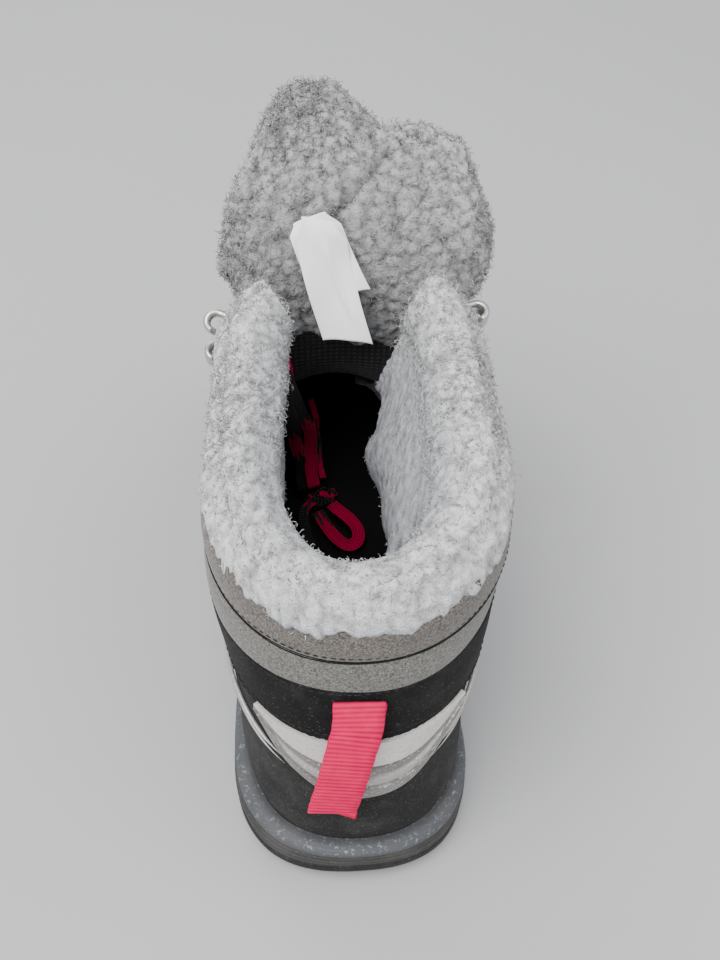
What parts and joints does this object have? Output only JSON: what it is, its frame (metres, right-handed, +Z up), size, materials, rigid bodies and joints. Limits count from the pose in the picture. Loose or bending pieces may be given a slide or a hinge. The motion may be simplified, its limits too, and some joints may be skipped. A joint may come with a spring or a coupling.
{
  "type": "snow boot",
  "caption": "Lined winter boot for the right foot: hollow upper with plush collar, lace-up throat, open leaning tongue, heel pull loop and lugged rubber sole.",
  "frame": {"origin": "on the ground under the middle of the heel, on the flat bottom of the heel's lugs", "axes": "+Y from the heel towards the toe, +X towards the outer side of the right foot, +Z up"},
  "size_m": [0.1075, 0.2842, 0.203],
  "materials": {
    "tread_rubber": "dark rubber, matt and dusty",
    "cup_rubber": "smoky grey rubber, satin",
    "insole_felt": "black felt",
    "upper_suede": "grey suede and black nubuck, with a pale plush lining",
    "tongue_plush": "pale grey looped plush, black cloth outside",
    "cap_rubber": "black rubber",
    "counter_silver": "moulded silver-grey plastic",
    "webbing_pink": "pink ribbed webbing",
    "label_white": "white satin tape",
    "lace_pink_grey": "flat woven lace, pink and charcoal",
    "hook_metal": "satin cast metal"
  },
  "bodies": {
    "root": {"outsole": "tread_rubber", "midsole": "cup_rubber", "insole": "insole_felt", "upper": "upper_suede", "tongue": "tongue_plush", "toe_cap": "cap_rubber", "heel_counter": "counter_silver", "side_badge": "cap_rubber", "pull_loop": "webbing_pink", "care_label": "label_white", "laces": "lace_pink_grey", "lace_loop_inner_1": "hook_metal", "lace_loop_inner_2": "hook_metal", "lace_loop_inner_3": "hook_metal", "lace_loop_outer_1": "hook_metal", "lace_loop_outer_2": "hook_metal", "lace_loop_outer_3": "hook_metal", "hook_inner_1": "hook_metal", "hook_inner_2": "hook_metal", "hook_outer_1": "hook_metal", "hook_outer_2": "hook_metal", "lace_run_a": "lace_pink_grey", "lace_run_b": "lace_pink_grey", "lace_tail_a": "lace_pink_grey", "lace_tail_b": "lace_pink_grey", "lace_bow": "lace_pink_grey", "lace_knot": "lace_pink_grey"}
  },
  "joints": []
}
